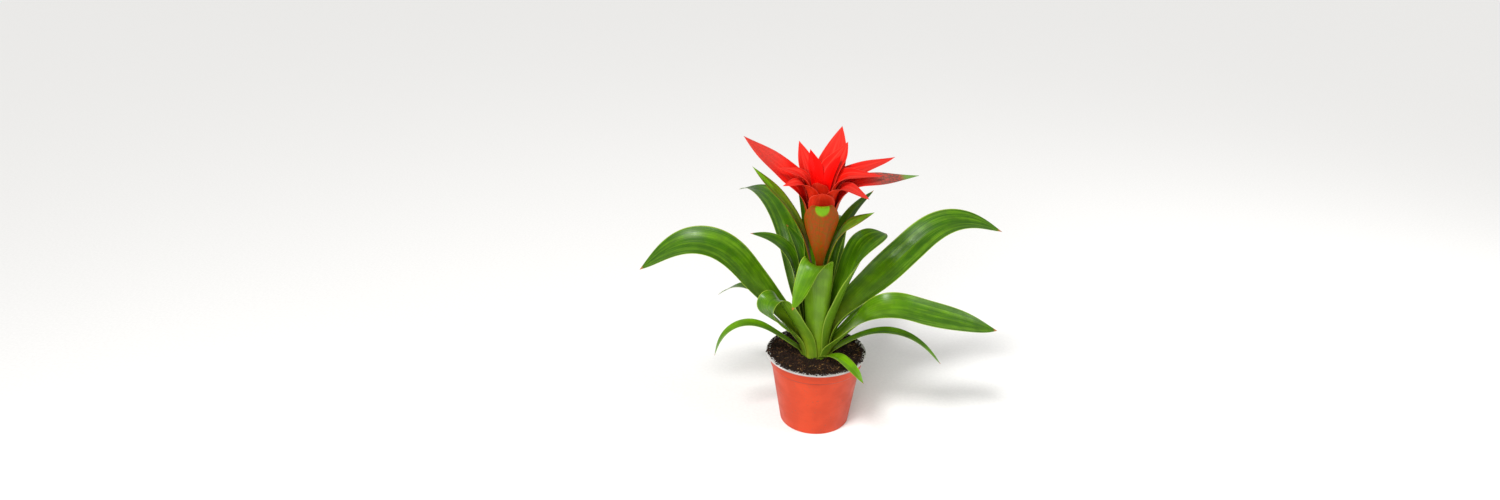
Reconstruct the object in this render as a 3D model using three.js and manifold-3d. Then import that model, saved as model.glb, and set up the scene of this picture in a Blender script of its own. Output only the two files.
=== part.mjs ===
// Potted bromeliad: a rosette of strap leaves around one flower stalk of red bracts,
// growing in a round nursery pot filled with potting soil.
// Millimetres, +Z up. The origin is the centre of the pot's flat base.
import * as THREE from 'three';
import * as BufferGeometryUtils from 'three/addons/utils/BufferGeometryUtils.js';
import Module from 'manifold-3d';

const wasm = await Module();
wasm.setup();

// ---- driving dimensions -------------------------------------------------------------------

const CLEARANCE = 0.3;            // gap left between pieces that touch
const WELD = 1e-4;                // points nearer than this are one point

const POT_RIM_RADIUS = 60;
const POT_HEIGHT = 92;
const POT_WALL = 0.9;
const POT_RIM_BAND = 2.2;         // height of the flange round the mouth
const POT_RIM_OVERHANG = 4;       // how far the flange stands out past the collar
const POT_COLLAR_HEIGHT = 12;     // straight collar below the flange
const POT_COLLAR_DRAFT = 1;       // the collar narrows by this much down to its step
const POT_STEP = 1.4;             // the body below the collar is smaller in radius by this
const POT_BASE_RADIUS = 42;
const POT_FOOT_WIDTH = 6;
const POT_FOOT_ROUND = 1;         // chamfer round the outside of the foot
const POT_FOOT_LIFT = 2;          // the base between foot and centre pad is raised by this
const POT_PAD_RADIUS = 10;
const DRAIN_HOLES = 8;
const DRAIN_RADIUS = 4;
const DRAIN_CIRCLE = 23;
const POT_SIDES = 44;
const DRAIN_SIDES = 16;

const SOIL_BELOW_RIM = 2.5;       // soil surface at the wall, below the rim
const SOIL_MOUND = 1.5;           // the soil rises this much toward the plant
const SOIL_DISH_DEPTH = 5;        // the hollow that the leaf bases sit in
const SOIL_BANK = 3;              // width of the slope down into the hollow
const SOIL_BREAK = [0.6, 0.7];    // share of the way out, and of the mound, where it steepens
const SOIL_SIDES = 40;

const STEM_RADIUS = 6.5;          // below the leaves
const STEM_TIP_RADIUS = 3.6;
const STEM_ROOT_DEPTH = 45;       // how far the stem reaches into the soil
const STEM_ABOVE_RIM = 196;
const STEM_NARROWS = [10, 170];   // between these heights above the rim it grows slender
const STEM_STATIONS = 8;
const STEM_SIDES = 16;

const LEAF_THICKNESS = 1.0;
const LEAF_TIERS = 7;             // tier 0 is the outermost ring of leaf bases
const CORE_TO_LEAF = 3.7;         // from the stem's skin to the innermost leaf base
const TIER_GAP = 0.4;             // air between one ring of leaf bases and the next
const LEAF_OPENS = [0.4, 2.5];    // a leaf's channel opens between these shares of its rise
const LEAF_TAPER = [0.35, 4.2];   // where a leaf starts to narrow, and how late it narrows
const LEAF_TURNS = [0.1, 0.6];    // between these shares a leaf rolls about its midrib
const BRACT_THICKNESS = 0.8;
const SCAPE_FOOT = 96;            // the lowest stalk bracts, above the rim
const SCAPE_SPACE = 10.4;         // height between rings of bracts, beyond two thicknesses
const PETAL_FOOT = 126;
const PETAL_SPACE = 5.4;
const FUNNEL_EASE = 1.06;         // a bract's channel radius over its distance from the axis
const TIP_WIDTH = 1.4;
const LEAF_STATIONS = 14;         // rings of points along a leaf
const BRACT_STATIONS = 12;
const MIDRIB_STEPS = 8;           // steps along the midrib from one ring of points to the next
const WIDE_ACROSS = 6;            // facets across a wide leaf
const NARROW_ACROSS = 4;          // facets across a thin leaf or a bract
const SPREAD = [4, 66];           // a blade widens to its full width between these distances

const POT_FINISH = [0xcf4a22, 0.45];     // colour and roughness
const SOIL_FINISH = [0x2a1a12, 0.95];
const STEM_FINISH = [0x7a8f2a, 0.5];
const LEAF_FINISH = [0x3f7d16, 0.4];
const SCAPE_FINISH = [0x8a5a1c, 0.4];
const PETAL_FINISH = [0xee2a1c, 0.4];
const HEART_FINISH = [0xf50a05, 0.4];

const scapeStep = SCAPE_SPACE + 2 * BRACT_THICKNESS;
const petalStep = PETAL_SPACE + 2 * BRACT_THICKNESS;

// Leaves: lengths in mm, angles in degrees. Azimuth 0 is +X and 90 is +Y.
// sheath: how far the foot reaches round the stalk.
// lean: slope from the vertical once the leaf has left the tube of leaf bases, after "rise" mm.
// droop: slope at the tip, reached gradually between the fractions bend[0] and bend[1].
// sway: how far the heading turns while it bends; roll: turn of the blade about its own midrib;
// cup: radius of the leaf's channel.
const LEAVES = [
  { name: 'leaf_front_droop', tier: 0, azimuth: -66, length: 84, width: 17, sheath: 46, rise: 12,
    lean: 60, droop: 134, bend: [0.2, 1], sway: 26, roll: 0, cup: 16 },
  { name: 'leaf_left_thin', tier: 0, azimuth: 186, length: 144, width: 15, sheath: 46, rise: 14,
    lean: 52, droop: 166, bend: [0.3, 1], sway: -3, roll: -10, cup: 14 },
  { name: 'leaf_right_thin', tier: 0, azimuth: -14, length: 156, width: 14, sheath: 52, rise: 14,
    lean: 52, droop: 140, bend: [0.15, 1], sway: 2, roll: 8, cup: 14 },
  { name: 'leaf_right_back_thin', tier: 0, azimuth: 34, length: 158, width: 14, sheath: 38, rise: 14,
    lean: 57, droop: 142, bend: [0.3, 1], sway: -12, roll: 8, cup: 14 },
  { name: 'leaf_back_low', tier: 0, azimuth: 86, length: 180, width: 24, sheath: 49, rise: 14,
    lean: 54, droop: 128, bend: [0.3, 1], sway: 8, roll: 0, cup: 20 },
  { name: 'leaf_back_left_low', tier: 0, azimuth: 136, length: 170, width: 22, sheath: 49, rise: 14,
    lean: 56, droop: 130, bend: [0.3, 1], sway: 6, roll: 0, cup: 20 },
  { name: 'leaf_right_low', tier: 1, azimuth: -22, length: 239, width: 44, sheath: 116, rise: 22,
    lean: 38, droop: 106, bend: [0.24, 0.56], sway: 27, roll: 24, cup: 40 },
  { name: 'leaf_left_wide', tier: 1, azimuth: 171, length: 274, width: 49, sheath: 107, rise: 30,
    lean: 38, droop: 129, bend: [0.43, 0.94], sway: 5, roll: -28, cup: 40 },
  { name: 'leaf_back_right_wide', tier: 1, azimuth: 78, length: 250, width: 42, sheath: 75, rise: 24,
    lean: 42, droop: 120, bend: [0.4, 1], sway: -10, roll: 6, cup: 32 },
  { name: 'leaf_left_folded', tier: 2, azimuth: 214, length: 184, width: 34, sheath: 109, rise: 44,
    lean: 31, droop: 222, bend: [0.5, 0.7], sway: 0, roll: 0, cup: 28 },
  { name: 'leaf_right_wide', tier: 2, azimuth: 22, length: 289, width: 48, sheath: 112, rise: 60,
    lean: 51, droop: 112, bend: [0.58, 1], sway: -31, roll: 22, cup: 40 },
  { name: 'leaf_back_wide', tier: 2, azimuth: 120, length: 270, width: 41, sheath: 78, rise: 50,
    lean: 26, droop: 112, bend: [0.45, 1], sway: 4, roll: 0, cup: 30 },
  { name: 'leaf_right_upright', tier: 3, azimuth: 2, length: 186, width: 50, sheath: 141, rise: 70,
    lean: 18, droop: 110, bend: [0.7, 1], sway: 50, roll: 16, cup: 34,
    turns: [0.4, 0.8] },
  { name: 'leaf_left_curled', tier: 3, azimuth: 163, length: 182, width: 31, sheath: 104, rise: 40,
    lean: 9, droop: 86, bend: [0.55, 1], sway: 6, roll: -10, cup: 24 },
  { name: 'leaf_front_folded', tier: 4, azimuth: -98, length: 190, width: 40, sheath: 130, rise: 60,
    lean: 5, droop: 142, bend: [0.62, 0.76], sway: -40, roll: 0, cup: 22 },
  { name: 'leaf_back_right_upright', tier: 6, azimuth: 40, length: 224, width: 21, sheath: 81, rise: 60,
    lean: 7, droop: 74, bend: [0.45, 1], sway: 6, roll: 0, cup: 16 },
  { name: 'leaf_back_left_pointed', tier: 4, azimuth: 136, length: 164, width: 25, sheath: 73, rise: 50,
    lean: 6, droop: 50, bend: [0.6, 1], sway: 0, roll: -10, cup: 15 },
  { name: 'leaf_tall', tier: 6, azimuth: 126, length: 226, width: 18, sheath: 81, rise: 90,
    lean: 5, droop: 24, bend: [0.5, 1], sway: 0, roll: -10, cup: 16 },
];

// Bracts of the flower stalk, in rings from the lowest one up. The scape bracts are the green and
// brown ones that sheathe the stalk below the flower. A bract's channel follows the funnel of
// bracts round the stalk, until its radius reaches "flat". taper: where the blade starts to
// narrow and how late the narrowing comes.
const SCAPE = { finish: SCAPE_FINISH, foot: SCAPE_FOOT, step: scapeStep, sheath: 8.4, rise: 2,
  flat: 26, taper: [0.5, 3] };
const PETAL = { finish: PETAL_FINISH, foot: PETAL_FOOT, step: petalStep, sheath: 8.4, rise: 2,
  flat: 40, taper: [0.56, 1.8] };
const HEART = { finish: HEART_FINISH, foot: PETAL_FOOT, step: petalStep, sheath: 7.4, rise: 2,
  flat: 20, taper: [0.52, 2] };
const BRACTS = [
  { name: 'scape_bract_left', kind: SCAPE, ring: 0, azimuth: 170, length: 152, width: 20,
    lean: 15, droop: 44, bend: [0.22, 0.8], sway: 0, roll: -16 },
  { name: 'scape_bract_right', kind: SCAPE, ring: 0, azimuth: -8, length: 104, width: 22,
    lean: 15, droop: 60, bend: [0.3, 0.9], sway: 0, roll: 16 },
  { name: 'scape_bract_front', kind: SCAPE, ring: 1, azimuth: -92, length: 96, width: 49,
    lean: 14.3, droop: 92, bend: [0.84, 1], sway: 4, roll: 0 },
  { name: 'scape_bract_back', kind: SCAPE, ring: 1, azimuth: 76, length: 120, width: 34,
    lean: 14.3, droop: 40, bend: [0.5, 1], sway: 0, roll: 0 },
  { name: 'petal_long_left', kind: PETAL, ring: 0, azimuth: 156, length: 166, width: 34,
    lean: 13.6, droop: 55, bend: [0.36, 0.6], sway: 0, roll: -22 },
  { name: 'petal_long_right', kind: PETAL, ring: 0, azimuth: 3, length: 163, width: 32,
    lean: 13.6, droop: 84, bend: [0.35, 0.66], sway: 0, roll: 12 },
  { name: 'petal_front_lip', kind: PETAL, ring: 1, azimuth: -94, length: 84, width: 40,
    lean: 13.0, droop: 54, bend: [0.62, 1], sway: 0, roll: 0 },
  { name: 'petal_back', kind: PETAL, ring: 1, azimuth: 71, length: 158, width: 36,
    lean: 13.0, droop: 55, bend: [0.36, 0.56], sway: 0, roll: 0 },
  { name: 'petal_front_right', kind: PETAL, ring: 2, azimuth: -38, length: 109, width: 32,
    lean: 12.6, droop: 106, bend: [0.5, 0.84], sway: 0, roll: 4 },
  { name: 'petal_back_left', kind: PETAL, ring: 2, azimuth: 121, length: 118, width: 32,
    lean: 12.6, droop: 35, bend: [0.46, 0.76], sway: 0, roll: 0 },
  { name: 'petal_front_left', kind: PETAL, ring: 3, azimuth: 208, length: 96, width: 30,
    lean: 12.2, droop: 94, bend: [0.52, 0.91], sway: 0, roll: -8 },
  { name: 'petal_right_back', kind: PETAL, ring: 3, azimuth: 28, length: 146, width: 27,
    lean: 12.2, droop: 81, bend: [0.34, 0.58], sway: 0, roll: 10 },
  { name: 'petal_right', kind: PETAL, ring: 4, azimuth: 1, length: 111, width: 30,
    lean: 11.8, droop: 93, bend: [0.42, 0.76], sway: 0, roll: 8 },
  { name: 'petal_left', kind: PETAL, ring: 4, azimuth: 171, length: 96, width: 27,
    lean: 11.8, droop: 80, bend: [0.49, 0.89], sway: 0, roll: -8 },
  { name: 'petal_back_right', kind: PETAL, ring: 5, azimuth: 54, length: 105, width: 30,
    lean: 11.4, droop: 56, bend: [0.41, 0.72], sway: 0, roll: 0 },
  { name: 'petal_front', kind: PETAL, ring: 5, azimuth: -106, length: 64, width: 30,
    lean: 11.4, droop: 58, bend: [0.6, 1], sway: 0, roll: 0 },
  { name: 'heart_bract_left', kind: HEART, ring: 6, azimuth: 117, length: 79, width: 24,
    lean: 10.6, droop: 29, bend: [0.45, 0.89], sway: 0, roll: 0 },
  { name: 'heart_bract_front', kind: HEART, ring: 6, azimuth: -79, length: 50, width: 20,
    lean: 10.6, droop: 33, bend: [0.72, 1.0], sway: 0, roll: 0 },
  { name: 'heart_bract_right', kind: HEART, ring: 7, azimuth: 38, length: 68, width: 23,
    lean: 9.8, droop: 41, bend: [0.47, 0.88], sway: 0, roll: 0 },
  { name: 'heart_bract_side', kind: HEART, ring: 7, azimuth: 242, length: 49, width: 18,
    lean: 9.8, droop: 19, bend: [0.65, 1.0], sway: 0, roll: 0 },
];

// ---- small helpers ------------------------------------------------------------------------

const radians = THREE.MathUtils.degToRad;
const mix = THREE.MathUtils.lerp;
const smooth = (x, from, to) => THREE.MathUtils.smoothstep(x, from, to);

function piece(name, geometry, [color, roughness]) {
  const material = new THREE.MeshStandardMaterial({ color, roughness, metalness: 0 });
  const mesh = new THREE.Mesh(geometry, material);
  mesh.name = name;
  return mesh;
}

// A turned solid about Z from a closed list of [radius, height] points.
function turned(profile, sides) {
  const points = profile.map(([radius, height]) => new THREE.Vector2(radius, height));
  const geometry = new THREE.LatheGeometry(points, sides);
  geometry.rotateX(Math.PI / 2);
  geometry.deleteAttribute('uv');
  geometry.deleteAttribute('normal');
  const merged = BufferGeometryUtils.mergeVertices(geometry, WELD);
  return outward(merged);
}

// Six times the signed volume of a closed mesh: negative when its faces point inward.
function signedVolume(geometry) {
  const place = geometry.getAttribute('position');
  const index = geometry.getIndex();
  const corner = [new THREE.Vector3(), new THREE.Vector3(), new THREE.Vector3()];
  let total = 0;
  for (let i = 0; i < index.count; i += 3) {
    corner.forEach((v, k) => v.fromBufferAttribute(place, index.getX(i + k)));
    total += corner[0].dot(corner[1].clone().cross(corner[2]));
  }
  return total;
}

function outward(geometry) {
  if (signedVolume(geometry) < 0) {
    geometry.setIndex(Array.from(geometry.getIndex().array).reverse());
  }
  return geometry;
}

function toManifold(geometry) {
  const mesh = new wasm.Mesh({
    numProp: 3,
    vertProperties: new Float32Array(geometry.getAttribute('position').array),
    triVerts: new Uint32Array(geometry.getIndex().array),
  });
  return new wasm.Manifold(mesh);
}

function fromManifold(solid) {
  const mesh = solid.getMesh();
  const geometry = new THREE.BufferGeometry();
  geometry.setAttribute('position', new THREE.BufferAttribute(mesh.vertProperties, 3));
  geometry.setIndex(new THREE.BufferAttribute(mesh.triVerts, 1));
  return geometry;
}

// ---- pot ----------------------------------------------------------------------------------

const collarTop = POT_HEIGHT - POT_RIM_BAND;
const collarBottom = collarTop - POT_COLLAR_HEIGHT;
const collarTopRadius = POT_RIM_RADIUS - POT_RIM_OVERHANG;
const collarBottomRadius = collarTopRadius - POT_COLLAR_DRAFT;
const bodyTopRadius = collarBottomRadius - POT_STEP;
const footTop = POT_FOOT_LIFT + POT_WALL;
const footInner = POT_BASE_RADIUS - POT_FOOT_WIDTH;

// The skin's outside from the centre of the base up to the rim, then the inside back down.
function potSolid() {
  const outside = [
    [0, 0],
    [POT_PAD_RADIUS, 0],
    [POT_PAD_RADIUS + POT_FOOT_LIFT, POT_FOOT_LIFT],
    [footInner - POT_FOOT_LIFT, POT_FOOT_LIFT],
    [footInner, 0],
    [POT_BASE_RADIUS, 0],
    [POT_BASE_RADIUS + POT_FOOT_ROUND, POT_FOOT_ROUND],
    [bodyTopRadius, collarBottom - POT_STEP],
    [collarBottomRadius, collarBottom],
    [collarTopRadius, collarTop],
    [POT_RIM_RADIUS, collarTop],
    [POT_RIM_RADIUS, POT_HEIGHT],
  ];
  const inside = [
    [POT_RIM_RADIUS - POT_WALL - POT_RIM_OVERHANG, POT_HEIGHT],
    [collarTopRadius - POT_WALL, collarTop],
    [collarBottomRadius - POT_WALL, collarBottom],
    [bodyTopRadius - POT_WALL, collarBottom - POT_STEP],
    [POT_BASE_RADIUS - POT_WALL, footTop],
    [0, footTop],
  ];
  return turned([...outside, ...inside], POT_SIDES);
}

function makePot() {
  let pot = toManifold(potSolid());
  for (let i = 0; i < DRAIN_HOLES; i++) {
    const angle = (2 * Math.PI * (i + 0.5)) / DRAIN_HOLES;
    const drill = new THREE.CylinderGeometry(DRAIN_RADIUS, DRAIN_RADIUS, 4 * footTop, DRAIN_SIDES);
    drill.rotateX(Math.PI / 2);
    drill.translate(DRAIN_CIRCLE * Math.cos(angle), DRAIN_CIRCLE * Math.sin(angle), 0);
    drill.deleteAttribute('uv');
    drill.deleteAttribute('normal');
    pot = pot.subtract(toManifold(BufferGeometryUtils.mergeVertices(drill, WELD)));
  }
  return piece('pot', fromManifold(pot), POT_FINISH);
}

// ---- soil and stem ------------------------------------------------------------------------

const tierStep = LEAF_THICKNESS + TIER_GAP;
const tierRadius = (tier) => STEM_RADIUS + CORE_TO_LEAF + LEAF_THICKNESS
  + (LEAF_TIERS - 1 - tier) * tierStep;
const soilEdge = POT_HEIGHT - SOIL_BELOW_RIM;
const soilTop = soilEdge + SOIL_MOUND;
const dishRadius = tierRadius(0) + 2 * CLEARANCE;
const dishFloor = soilTop - SOIL_DISH_DEPTH;
const stemTop = POT_HEIGHT + STEM_ABOVE_RIM;
const stemFoot = POT_HEIGHT - STEM_ROOT_DEPTH;

// Radius of the stem at a height: stout in the soil and among the leaves, slender above.
function stemRadiusAt(height) {
  return mix(STEM_RADIUS, STEM_TIP_RADIUS, smooth(height - POT_HEIGHT, ...STEM_NARROWS));
}

function makeSoil() {
  const gap = POT_WALL + CLEARANCE;
  const hole = STEM_RADIUS + CLEARANCE;
  const profile = [
    [0, footTop + CLEARANCE],
    [POT_BASE_RADIUS - gap, footTop + CLEARANCE],
    [bodyTopRadius - gap, collarBottom - POT_STEP],
    [collarBottomRadius - gap, collarBottom + CLEARANCE],
    [collarTopRadius - gap, soilEdge],
    [mix(dishRadius, collarTopRadius, SOIL_BREAK[0]), soilEdge + SOIL_BREAK[1] * SOIL_MOUND],
    [dishRadius + SOIL_BANK, soilTop],
    [dishRadius, dishFloor],
    [hole, dishFloor],
    [hole, stemFoot - CLEARANCE],
    [0, stemFoot - CLEARANCE],
  ];
  return piece('potting_soil', turned(profile, SOIL_SIDES), SOIL_FINISH);
}

function makeStem() {
  const profile = [[0, stemFoot], [STEM_RADIUS, stemFoot]];
  const straightTop = POT_HEIGHT + STEM_NARROWS[0];
  for (let i = 0; i <= STEM_STATIONS; i++) {
    const height = mix(straightTop, stemTop - STEM_TIP_RADIUS, i / STEM_STATIONS);
    profile.push([stemRadiusAt(height), height]);
  }
  profile.push([STEM_TIP_RADIUS / 2, stemTop], [0, stemTop]);
  return piece('flower_stem', turned(profile, STEM_SIDES), STEM_FINISH);
}

// ---- leaves and bracts --------------------------------------------------------------------

// One blade, grown in the X-Z plane from the point [radius, 0, 0] and headed along +X.
// Its midrib starts upright, leans out by "lean" over the first "rise" mm and bends to "droop".
// Across, the blade is an arc: round the stalk at the foot and opening to the radius "cup".
function bladeSolid(blade, footRadius, thickness, stations, across) {
  const position = [];
  const walker = new THREE.Vector3(footRadius, 0, 0);
  const step = blade.length / (stations * MIDRIB_STEPS);
  const ring = 2 * (across + 1);
  for (let i = 0; i <= stations; i++) {
    const s = i / stations;
    const frame = bladeFrame(blade, s);
    const radius = channelRadius(blade, s, footRadius, Math.hypot(walker.x, walker.y));
    const half = bladeWidth(blade, s) / (2 * radius);
    const arc = (angle, depth) => {
      const point = walker.clone();
      point.addScaledVector(frame.side, (radius - depth) * Math.sin(angle));
      point.addScaledVector(frame.up, radius - (radius - depth) * Math.cos(angle));
      position.push(point.x, point.y, point.z);
    };
    for (let k = 0; k <= across; k++) {
      arc(mix(-half, half, k / across), 0);
    }
    for (let k = across; k >= 0; k--) {
      arc(mix(-half, half, k / across), thickness);
    }
    for (let k = 0; k < MIDRIB_STEPS; k++) {
      const middle = s + (k + 0.5) / (stations * MIDRIB_STEPS);
      walker.addScaledVector(bladeFrame(blade, middle).along, step);
    }
  }
  const geometry = new THREE.BufferGeometry();
  geometry.setAttribute('position', new THREE.Float32BufferAttribute(position, 3));
  geometry.setIndex(ringIndex(stations, ring, across));
  return outward(geometry);
}

// The midrib's direction, the direction across the blade and the blade's inner face at s.
function bladeFrame(blade, s) {
  const lean = blade.lean * smooth(s * blade.length, 0, blade.rise);
  const slope = radians(lean + (blade.droop - blade.lean) * smooth(s, ...blade.bend));
  const heading = radians(blade.sway) * smooth(s, ...blade.bend);
  const along = new THREE.Vector3(
    Math.sin(slope) * Math.cos(heading), Math.sin(slope) * Math.sin(heading), Math.cos(slope));
  const side = new THREE.Vector3(-Math.sin(heading), Math.cos(heading), 0);
  const up = along.clone().cross(side);
  const roll = radians(blade.roll) * smooth(s, ...blade.turns);
  side.applyAxisAngle(along, roll);
  up.applyAxisAngle(along, roll);
  return { along, side, up };
}

// A leaf's channel opens over the first part of its length; a bract's grows with its distance
// from the stalk's axis.
function channelRadius(blade, s, footRadius, fromAxis) {
  if (blade.cup) {
    return mix(footRadius, blade.cup, smooth(s * blade.length, ...blade.opens));
  }
  return Math.min(FUNNEL_EASE * fromAxis, blade.flat);
}

// Sheath width at the foot, full width along the middle and a pointed tip.
function bladeWidth(blade, s) {
  const body = mix(blade.sheath, blade.width, smooth(s * blade.length, ...SPREAD));
  const [from, power] = blade.taper;
  const taper = 1 - Math.pow(Math.max(0, s - from) / (1 - from), power);
  return Math.max(TIP_WIDTH, body * taper);
}

// Triangles of the skin between neighbouring rings, and of the two end faces.
function ringIndex(stations, ring, across) {
  const index = [];
  for (let i = 0; i < stations; i++) {
    for (let k = 0; k < ring; k++) {
      const a = i * ring + k;
      const b = i * ring + ((k + 1) % ring);
      index.push(a, b, b + ring, a, b + ring, a + ring);
    }
  }
  const last = stations * ring;
  for (let k = 0; k < across; k++) {
    const mate = ring - 1 - k;
    index.push(k + 1, k, mate, k + 1, mate, mate - 1);
    index.push(last + k, last + k + 1, last + mate, last + k + 1, last + mate - 1, last + mate);
  }
  return index;
}

function makeLeaf(leaf) {
  const opens = LEAF_OPENS.map((share) => share * leaf.rise);
  const across = leaf.tier === 0 ? NARROW_ACROSS : WIDE_ACROSS;
  const footRadius = tierRadius(leaf.tier);
  const sheath = radians(leaf.sheath) * footRadius;
  const blade = { turns: LEAF_TURNS, ...leaf, sheath, opens, taper: LEAF_TAPER };
  const geometry = bladeSolid(blade, footRadius, LEAF_THICKNESS, LEAF_STATIONS, across);
  const mesh = piece(leaf.name, geometry, LEAF_FINISH);
  mesh.rotation.z = radians(leaf.azimuth);
  mesh.position.z = dishFloor + CLEARANCE;
  return mesh;
}

function makeBract(bract) {
  const foot = POT_HEIGHT + bract.kind.foot + bract.ring * bract.kind.step;
  const footRadius = stemRadiusAt(foot) + CLEARANCE + BRACT_THICKNESS;
  const blade = { ...bract.kind, ...bract, turns: bract.bend };
  const geometry = bladeSolid(blade, footRadius, BRACT_THICKNESS, BRACT_STATIONS,
    NARROW_ACROSS);
  const mesh = piece(bract.name, geometry, bract.kind.finish);
  mesh.rotation.z = radians(bract.azimuth);
  mesh.position.z = foot;
  return mesh;
}

// ---- assembly -----------------------------------------------------------------------------

const rosette = new THREE.Group();
rosette.add(...LEAVES.map(makeLeaf));

const flower = new THREE.Group();
flower.add(makeStem(), ...BRACTS.map(makeBract));

const pottedBromeliad = new THREE.Group();
pottedBromeliad.add(makePot(), makeSoil(), rosette, flower);

export default pottedBromeliad;
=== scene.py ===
"""Potted bromeliad: the visible leaves, bracts, soil and pot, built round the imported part.

The file is laid out as an add-on and run as a script. Each operator makes one piece, or
one group of like pieces, from surfaces worked out with numpy. Lengths in the tables and
functions are millimetres; the properties and the finished meshes are in metres.
"""

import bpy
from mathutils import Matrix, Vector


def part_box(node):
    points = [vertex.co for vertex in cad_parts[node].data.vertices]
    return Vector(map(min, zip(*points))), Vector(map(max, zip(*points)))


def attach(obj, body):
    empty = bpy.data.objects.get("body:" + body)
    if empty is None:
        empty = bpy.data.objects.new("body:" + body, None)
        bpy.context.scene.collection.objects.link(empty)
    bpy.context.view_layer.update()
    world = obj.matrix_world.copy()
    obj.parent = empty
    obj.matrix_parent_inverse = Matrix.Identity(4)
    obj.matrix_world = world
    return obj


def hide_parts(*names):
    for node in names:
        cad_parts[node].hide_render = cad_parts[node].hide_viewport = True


bl_info = {
    "name": "Potted bromeliad",
    "version": (1, 0, 0),
    "blender": (4, 5, 0),
    "location": "3D View > Sidebar > Bromeliad",
    "description": "Builds a flowering bromeliad in a nursery pot round its packed frame",
    "category": "Object",
}

import math
from types import SimpleNamespace

import bmesh
import bpy
import numpy as np
from bpy.props import FloatProperty, FloatVectorProperty, IntProperty, PointerProperty

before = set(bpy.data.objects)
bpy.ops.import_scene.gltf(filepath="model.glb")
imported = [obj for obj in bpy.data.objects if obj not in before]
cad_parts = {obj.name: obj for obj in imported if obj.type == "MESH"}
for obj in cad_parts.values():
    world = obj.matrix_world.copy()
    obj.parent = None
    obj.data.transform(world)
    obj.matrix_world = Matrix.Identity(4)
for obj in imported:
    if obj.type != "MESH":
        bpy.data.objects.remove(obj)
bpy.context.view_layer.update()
BODY = "root"
MM = 0.001

# ---- sizes shared with the solids, in millimetres ------------------------------------------

POT_HIGH = np.array(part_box("pot")[1]) / MM
SOIL_HIGH = np.array(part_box("potting_soil")[1]) / MM
STEM_LOW, STEM_HIGH = (np.array(corner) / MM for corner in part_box("flower_stem"))

RIM_RADIUS = POT_HIGH[0]
RIM_TOP = POT_HIGH[2]
POT_WALL = 0.9
RIM_BAND = 2.2            # height of the flange round the mouth
RIM_OVERHANG = 4.0        # how far the flange stands out past the collar
COLLAR_HEIGHT = 12.0
COLLAR_DRAFT = 1.0
BODY_STEP = 1.4
BASE_RADIUS = 42.0
FOOT_WIDTH = 6.0
FOOT_LIFT = 2.0
PAD_RADIUS = 10.0
DRAIN_HOLES = 8
DRAIN_RADIUS = 4.0
DRAIN_CIRCLE = 23.0
RING_GAP = 2.0            # flat left beside the ring of drain holes
EDGE_ROUND = 0.9
BASE_ROUND = 0.5
ARC_STEPS = 20            # points round the pot for each drain hole
LIP_GREY = (0.25, 0.5)    # the lip turns grey between these heights over its lower edge
SKIN_DEPTH = 0.5          # points this far inside the outer skin are grey
FLOOR_SLACK = 0.1
# Heights over the collar's foot where the dark line under it starts, is full, is still full
# and ends. The line is painted shade under the collar's step, with some dirt.
STEP_SHADE_AND_GRIME = (-1.6, -0.6, -0.4, 0.3)

CLEARANCE = 0.3
STEM_RADIUS = 6.5
STEM_TIP_RADIUS = 3.6
STEM_NARROWS = (10, 170)  # heights over the rim
CORE_TO_LEAF = 3.7        # from the stem's skin to the innermost leaf base
LEAF_TIERS = 7
TIER_GAP = 0.4
LEAF_WALL = 1.0
BRACT_WALL = 0.8
SPREAD = (4.0, 66.0)      # a blade widens from its sheath to full width between these
SOIL_TOP = SOIL_HIGH[2]
SOIL_EDGE = SOIL_TOP - 1.5
DISH_FLOOR = SOIL_TOP - 5.0
LEAF_FOOT = DISH_FLOOR + CLEARANCE

# The soil's mound as radii and heights, and its noise as grain size, height and seed.
MOUND_RADII = (10, 17, 21, 42, SOIL_HIGH[0])
MOUND_HEIGHTS = (DISH_FLOOR, SOIL_TOP - 2, SOIL_TOP + 0.3, SOIL_TOP - 0.3, SOIL_EDGE + 0.9)
SOIL_NOISE = ((9.0, 1.0, 3), (4.0, 0.8, 5), (2.0, 0.55, 7), (1.1, 0.3, 11))
# Loose bits: inner radius of their ring, room left at the wall and height over the soil; then
# how far each tips, in degrees.
CRUMBS, CRUMB_TILT = (19.5, 0.6, 0.15), 80
CHIPS, CHIP_TILT = (20.5, 1.0, 0.45), 38
FIBRES, FIBRE_TILT = (20.5, 2.0, 0.35), 24
# Crumbs spilt on the rim: how many, how far they start inside its edge and reach over it, the
# powers of their thinning outward, and how far they sink in and pile up.
SPILT_CRUMBS = 1900
SPILT_FROM, SPILT_REACH = 1.0, 4.9
SPILT_THINS = (1.1, 1.5)
SPILT_SINK, SPILT_PILE = 0.6, 0.9
# Sizes by chance: the two numbers of a gamma law, and the least and most it may give.
CRUMB_LAW, CRUMB_LIMITS = (3.0, 0.22), (0.25, 1.9)
CHIP_LAW, CHIP_LIMITS = (3.5, 0.36), (0.4, 2.6)
FIBRE_LENGTHS = (1.6, 5.0)
FIBRE_RADIUS = 0.16

COLLAR_TOP = RIM_TOP - RIM_BAND
COLLAR_BOTTOM = COLLAR_TOP - COLLAR_HEIGHT
COLLAR_TOP_RADIUS = RIM_RADIUS - RIM_OVERHANG
COLLAR_BOTTOM_RADIUS = COLLAR_TOP_RADIUS - COLLAR_DRAFT
BODY_TOP_RADIUS = COLLAR_BOTTOM_RADIUS - BODY_STEP
FLOOR_TOP = FOOT_LIFT + POT_WALL

# ---- the plant's blades ---------------------------------------------------------------------

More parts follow.
